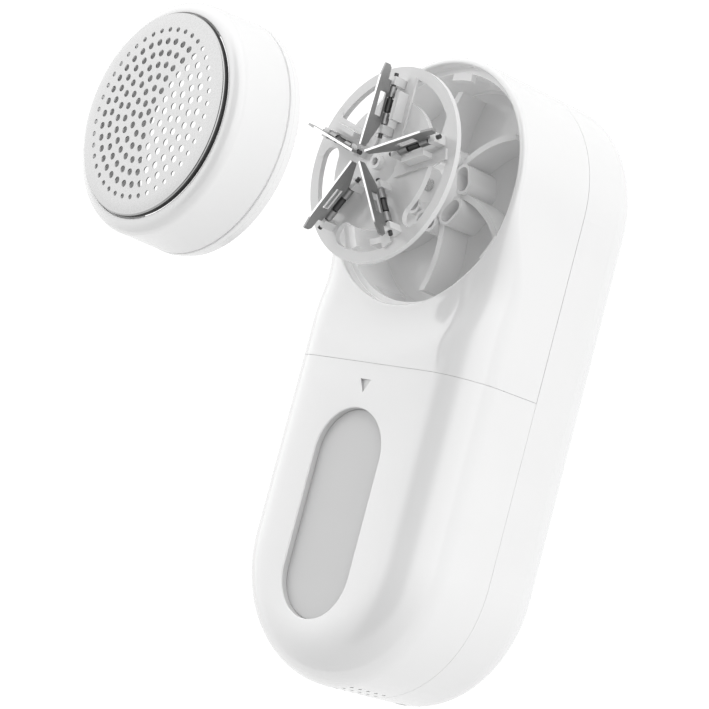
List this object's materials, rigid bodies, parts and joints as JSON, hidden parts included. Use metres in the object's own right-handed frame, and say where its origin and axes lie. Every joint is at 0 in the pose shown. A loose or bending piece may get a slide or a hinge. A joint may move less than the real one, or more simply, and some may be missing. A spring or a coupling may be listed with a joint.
{
  "type": "fabric shaver",
  "caption": "Hand-held battery fabric shaver: pill-shaped body, lift-off perforated cutting head, sprung rotary blades on a fan, and a slide-off lint bin with a window.",
  "frame": {"origin": "on the back resting face, under the cutting head's axis", "axes": "+Z out of the front along the head's axis, +Y along the body towards the head, +X to the right when facing the front with the head up"},
  "size_m": [0.06, 0.144, 0.1176],
  "materials": {
    "white_shell": "smooth moulded gloss white",
    "bowl_plastic": "moulded light grey",
    "rotor_plastic": "moulded mid grey",
    "window_plastic": "frosted",
    "foil_steel": "polished perforated sheet",
    "blade_steel": "ground edges",
    "dark_steel": "blackened",
    "bright_steel": "drawn",
    "bronze": "sintered",
    "dark_plastic": "moulded",
    "cell_sleeve": "shrink sleeve",
    "board_green": "solder resist",
    "wire_sleeve": "smooth",
    "filter_mesh": "slotted",
    "seal_rubber": "moulded"
  },
  "bodies": {
    "case": {"rear_shell": "white_shell", "front_shell": "white_shell", "inner_frame": "bowl_plastic", "lint_bowl": "bowl_plastic", "lint_duct": "bowl_plastic", "motor_can": "bright_steel", "motor_end_bell": "dark_plastic", "motor_mount": "bowl_plastic", "motor_screws": "bright_steel", "shaft_bush": "bronze", "battery_cell": "cell_sleeve", "battery_tabs": "bright_steel", "circuit_board": "board_green", "charge_socket": "bright_steel", "slide_switch": "dark_plastic", "status_light": "window_plastic", "wires": "wire_sleeve", "shell_screws": "bright_steel", "rest_pads": "white_shell"},
    "switch": {"switch_knob": "white_shell"},
    "bin": {"bin_shell": "white_shell", "bin_base": "bowl_plastic", "bin_window": "window_plastic", "bin_filter": "filter_mesh", "bin_seal": "seal_rubber"},
    "spindle": {"motor_shaft": "bright_steel", "fan": "rotor_plastic", "drive_stub": "bright_steel"},
    "blade_set": {"blade_carrier": "rotor_plastic", "blade_pins": "dark_steel", "blade_springs": "dark_steel"},
    "cap": {"cap_shell": "white_shell", "foil_ring": "bowl_plastic", "foil": "foil_steel"},
    "blade_1": {"blade_1": "blade_steel"},
    "blade_2": {"blade_2": "blade_steel"},
    "blade_3": {"blade_3": "blade_steel"},
    "blade_4": {"blade_4": "blade_steel"},
    "blade_5": {"blade_5": "blade_steel"}
  },
  "joints": [
    {"name": "cap_lift", "type": "slide", "parent": "case", "child": "cap", "axis": [0, -0.1501, 0.9887], "range_m": [-0.0646, 0]},
    {"name": "spindle_spin", "type": "hinge", "parent": "case", "child": "spindle", "pos_m": [0, 0, 0.03], "axis": [0, 0, 1], "continuous": true},
    {"name": "blade_set_lift", "type": "slide", "parent": "spindle", "child": "blade_set", "axis": [0, 0, 1], "range_m": [-0.0078, 0]},
    {"name": "bin_slide", "type": "slide", "parent": "case", "child": "bin", "axis": [0, -1, 0], "range_m": [0, 0.05]},
    {"name": "switch_slide", "type": "slide", "parent": "case", "child": "switch", "axis": [0, 1, 0], "range_m": [0, 0.004]},
    {"name": "blade_1_rock", "type": "hinge", "parent": "blade_set", "child": "blade_1", "pos_m": [0, 0.0127, 0.0558], "axis": [0, 1, 0], "range_deg": [-6, 6]},
    {"name": "blade_2_rock", "type": "hinge", "parent": "blade_set", "child": "blade_2", "pos_m": [0.01208, 0.00392, 0.0558], "axis": [0.9511, 0.309, 0], "range_deg": [-6, 6]},
    {"name": "blade_3_rock", "type": "hinge", "parent": "blade_set", "child": "blade_3", "pos_m": [0.00747, -0.01027, 0.0558], "axis": [0.5878, -0.809, 0], "range_deg": [-6, 6]},
    {"name": "blade_4_rock", "type": "hinge", "parent": "blade_set", "child": "blade_4", "pos_m": [-0.00747, -0.01027, 0.0558], "axis": [-0.5878, -0.809, 0], "range_deg": [-6, 6]},
    {"name": "blade_5_rock", "type": "hinge", "parent": "blade_set", "child": "blade_5", "pos_m": [-0.01208, 0.00392, 0.0558], "axis": [-0.9511, 0.309, 0], "range_deg": [-6, 6]}
  ],
  "couplings": [
    {"joint": "blade_set_lift", "follows": "cap_lift", "ratio": 0.1207},
    {"joint": "blade_2_rock", "follows": "blade_1_rock", "ratio": 1},
    {"joint": "blade_3_rock", "follows": "blade_1_rock", "ratio": 1},
    {"joint": "blade_4_rock", "follows": "blade_1_rock", "ratio": 1},
    {"joint": "blade_5_rock", "follows": "blade_1_rock", "ratio": 1}
  ]
}
